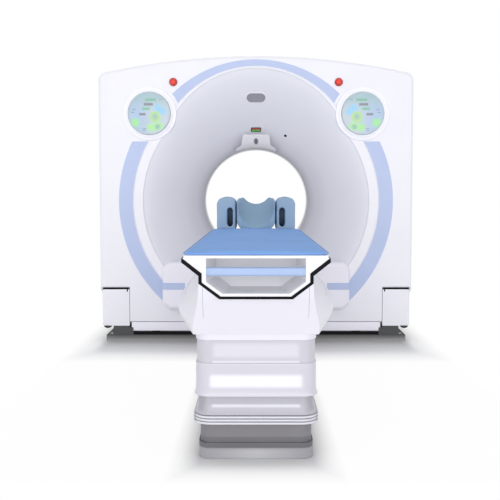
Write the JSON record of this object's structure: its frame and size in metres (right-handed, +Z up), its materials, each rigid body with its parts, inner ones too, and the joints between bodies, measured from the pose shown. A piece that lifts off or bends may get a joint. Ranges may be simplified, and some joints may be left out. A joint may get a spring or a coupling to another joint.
{
  "type": "ct scanner",
  "caption": "Tomography scanner with a tilting ring-shaped gantry, flared bore, tinted ring stripes and a lifting couch whose table slides through the bore.",
  "frame": {"origin": "bottom centre of the whole machine's bounding box, on the floor", "axes": "+X across the machine, +Y from the couch's foot end towards the gantry, +Z up"},
  "size_m": [1.98, 3.01, 1.801],
  "materials": {
    "cover_white": "satin",
    "cover_grey": "satin",
    "stripe_blue": "satin",
    "black_plastic": "matte",
    "window_film": "satin",
    "display_glass": "gloss",
    "estop_red": "gloss",
    "frame_steel": "satin",
    "bright_steel": "brushed",
    "aluminium": "satin",
    "cast_parts": "matte",
    "rubber": "matte",
    "mattress_blue": "satin",
    "pad_blue": "satin",
    "bar_blue": "satin"
  },
  "bodies": {
    "base": {"gantry_base": "frame_steel", "tilt_stands": "frame_steel", "trunnion_bearings": "bright_steel", "stand_covers": "cover_white", "tilt_gearmotor": "cast_parts", "floor_duct": "cover_grey", "couch_base": "cover_grey", "pedestal": "cover_grey", "lift_actuator": "cast_parts"},
    "tilting_gantry": {"front_cover": "cover_white", "rear_cover": "cover_white", "top_cover": "cover_white", "side_covers": "cover_white", "belly_cover": "cover_white", "front_funnel": "cover_white", "rear_funnel": "cover_white", "scan_window": "window_film", "chin_cover": "cover_white", "laser_housing": "cover_white", "ring_stripes": "stripe_blue", "display_bezels": "cover_white", "display_glasses": "display_glass", "speaker_window": "window_film", "countdown_display": "black_plastic", "tilt_frame": "aluminium", "main_bearing_outer": "bright_steel", "drive_belt": "rubber", "drive_motor": "cast_parts", "tilt_sector": "bright_steel", "fan_grille": "black_plastic"},
    "rotor": {"rotor_drum": "aluminium", "main_bearing_inner": "bright_steel", "xray_tube": "frame_steel", "detector": "aluminium", "high_voltage_unit": "frame_steel", "tube_cooler": "frame_steel", "slip_ring": "aluminium"},
    "drive_wheel": {"drive_pulley": "bright_steel"},
    "pinion": {"tilt_pinion": "bright_steel"},
    "estop_right": {"estop_button_right": "estop_red"},
    "estop_left": {"estop_button_left": "estop_red"},
    "fan": {"cooling_fan": "black_plastic"},
    "couch_lifted": {"couch_body": "cover_white", "couch_frame": "frame_steel", "guide_rails": "bright_steel", "column_inner": "aluminium", "actuator_rod": "bright_steel"},
    "upper_sleeve": {"upper_cover": "cover_white"},
    "middle_sleeve": {"middle_cover": "cover_white"},
    "lower_sleeve": {"lower_cover": "cover_white"},
    "middle_stage": {"column_middle": "aluminium"},
    "table": {"table_tail": "cover_white", "edge_trim": "cover_white", "grab_bar": "bar_blue", "cradle": "cover_grey", "mattress": "mattress_blue", "runner_blocks": "aluminium", "head_holder": "pad_blue", "arm_pads": "pad_blue"},
    "rollers": {"support_rollers": "bright_steel"}
  },
  "joints": [
    {"name": "gantry_tilt", "type": "hinge", "parent": "base", "child": "tilting_gantry", "pos_m": [0, 1.055, 0.889], "axis": [1, 0, 0], "range_deg": [-30, 30]},
    {"name": "rotor_spin", "type": "hinge", "parent": "tilting_gantry", "child": "rotor", "pos_m": [0, 1.055, 0.889], "axis": [0, 1, 0], "continuous": true},
    {"name": "drive_wheel_spin", "type": "hinge", "parent": "tilting_gantry", "child": "drive_wheel", "pos_m": [-0.69, 1.14, 0.299], "axis": [0, 1, 0], "continuous": true},
    {"name": "pinion_spin", "type": "hinge", "parent": "base", "child": "pinion", "pos_m": [0.811, 1.055, 0.544], "axis": [1, 0, 0], "range_deg": [-201, 201]},
    {"name": "estop_right_press", "type": "slide", "parent": "tilting_gantry", "child": "estop_right", "axis": [0, 1, 0], "range_m": [0, 0.004], "stiffness_N_per_m": 1500},
    {"name": "estop_left_press", "type": "slide", "parent": "tilting_gantry", "child": "estop_left", "axis": [0, 1, 0], "range_m": [0, 0.004], "stiffness_N_per_m": 1500},
    {"name": "fan_spin", "type": "hinge", "parent": "tilting_gantry", "child": "fan", "pos_m": [0, 1.48, 1.651], "axis": [0, 1, 0], "continuous": true},
    {"name": "couch_lift", "type": "slide", "parent": "base", "child": "couch_lifted", "axis": [0, 0, 1], "range_m": [-0.195, 0.06]},
    {"name": "upper_sleeve_rise", "type": "slide", "parent": "base", "child": "upper_sleeve", "axis": [0, 0, 1], "range_m": [-0.156, 0.048]},
    {"name": "middle_sleeve_rise", "type": "slide", "parent": "base", "child": "middle_sleeve", "axis": [0, 0, 1], "range_m": [-0.1131, 0.0348]},
    {"name": "lower_sleeve_rise", "type": "slide", "parent": "base", "child": "lower_sleeve", "axis": [0, 0, 1], "range_m": [-0.0702, 0.0216]},
    {"name": "middle_stage_rise", "type": "slide", "parent": "base", "child": "middle_stage", "axis": [0, 0, 1], "range_m": [-0.0975, 0.03]},
    {"name": "table_travel", "type": "slide", "parent": "couch_lifted", "child": "table", "axis": [0, 1, 0], "range_m": [0, 1.3]},
    {"name": "roller_spin", "type": "hinge", "parent": "couch_lifted", "child": "rollers", "pos_m": [0, 0.175, 0.649], "axis": [1, 0, 0], "continuous": true}
  ],
  "couplings": [
    {"joint": "drive_wheel_spin", "follows": "rotor_spin", "ratio": 11.667},
    {"joint": "pinion_spin", "follows": "gantry_tilt", "ratio": -6.6667},
    {"joint": "upper_sleeve_rise", "follows": "couch_lift", "ratio": 0.8},
    {"joint": "middle_sleeve_rise", "follows": "couch_lift", "ratio": 0.58},
    {"joint": "lower_sleeve_rise", "follows": "couch_lift", "ratio": 0.36},
    {"joint": "middle_stage_rise", "follows": "couch_lift", "ratio": 0.5},
    {"joint": "roller_spin", "follows": "table_travel", "rad_per_m": -35.714}
  ]
}
